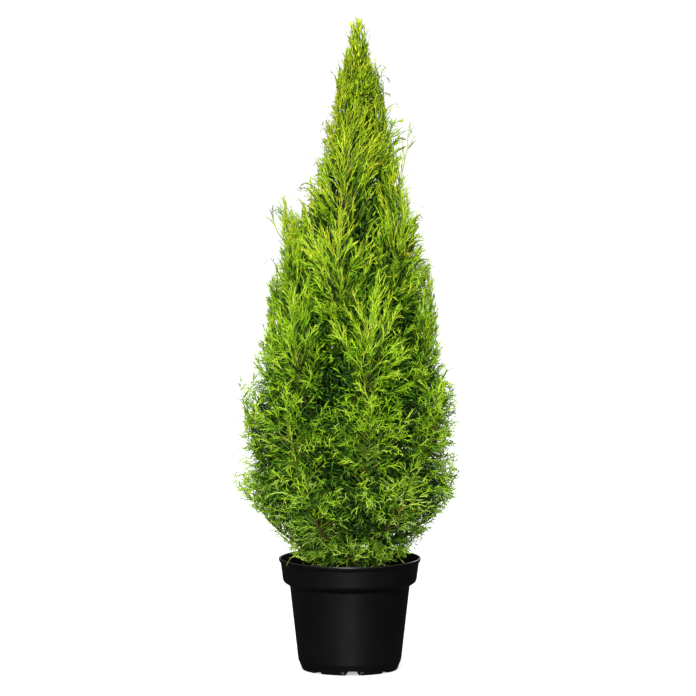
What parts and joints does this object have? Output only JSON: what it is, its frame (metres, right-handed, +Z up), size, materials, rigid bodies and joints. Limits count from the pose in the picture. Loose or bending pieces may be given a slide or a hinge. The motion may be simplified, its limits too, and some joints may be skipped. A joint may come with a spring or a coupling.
{
  "type": "potted lemon cypress",
  "caption": "Young lemon cypress, a dense upright cone of fine yellow-green sprays on one trunk, in a plain black plastic nursery pot with a collared rim.",
  "frame": {"origin": "centre of the flat underside of the pot, on the ground", "axes": "+Z up along the trunk, -Y towards the plant's front, +X to the front view's right"},
  "size_m": [0.2987, 0.2836, 0.8662],
  "materials": {
    "black_plastic": "black moulded nursery pot plastic, satin, with a faint sheen",
    "peat": "dark brown, crumbly, damp potting soil",
    "bark": "thin, reddish-brown, lengthwise-fissured bark",
    "foliage": "lime to yellow-green scale foliage in fine feathery sprays, darker green inside"
  },
  "bodies": {
    "root": {"pot": "black_plastic", "soil": "peat", "trunk": "bark", "bough_low_1": "bark", "bough_low_2": "bark", "bough_low_3": "bark", "bough_low_4": "bark", "bough_low_5": "bark", "bough_low_6": "bark", "bough_belly_1": "bark", "bough_belly_2": "bark", "bough_belly_3": "bark", "bough_belly_4": "bark", "bough_belly_5": "bark", "bough_belly_6": "bark", "bough_belly_7": "bark", "bough_waist_1": "bark", "bough_waist_2": "bark", "bough_waist_3": "bark", "bough_waist_4": "bark", "bough_waist_5": "bark", "bough_waist_6": "bark", "foliage_skirt_1": "foliage", "foliage_skirt_2": "foliage", "foliage_skirt_3": "foliage", "foliage_skirt_4": "foliage", "foliage_skirt_5": "foliage", "foliage_low_1": "foliage", "foliage_low_2": "foliage", "foliage_low_3": "foliage", "foliage_low_4": "foliage", "foliage_low_5": "foliage", "foliage_low_6": "foliage", "foliage_belly_1": "foliage", "foliage_belly_2": "foliage", "foliage_belly_3": "foliage", "foliage_belly_4": "foliage", "foliage_belly_5": "foliage", "foliage_belly_6": "foliage", "foliage_belly_7": "foliage", "foliage_waist_1": "foliage", "foliage_waist_2": "foliage", "foliage_waist_3": "foliage", "foliage_waist_4": "foliage", "foliage_waist_5": "foliage", "foliage_waist_6": "foliage", "foliage_shoulder_1": "foliage", "foliage_shoulder_2": "foliage", "foliage_shoulder_3": "foliage", "foliage_shoulder_4": "foliage", "foliage_shoulder_5": "foliage", "foliage_neck_1": "foliage", "foliage_neck_2": "foliage", "foliage_neck_3": "foliage", "foliage_crest_1": "foliage", "foliage_crest_2": "foliage", "foliage_leader": "foliage"}
  },
  "joints": []
}
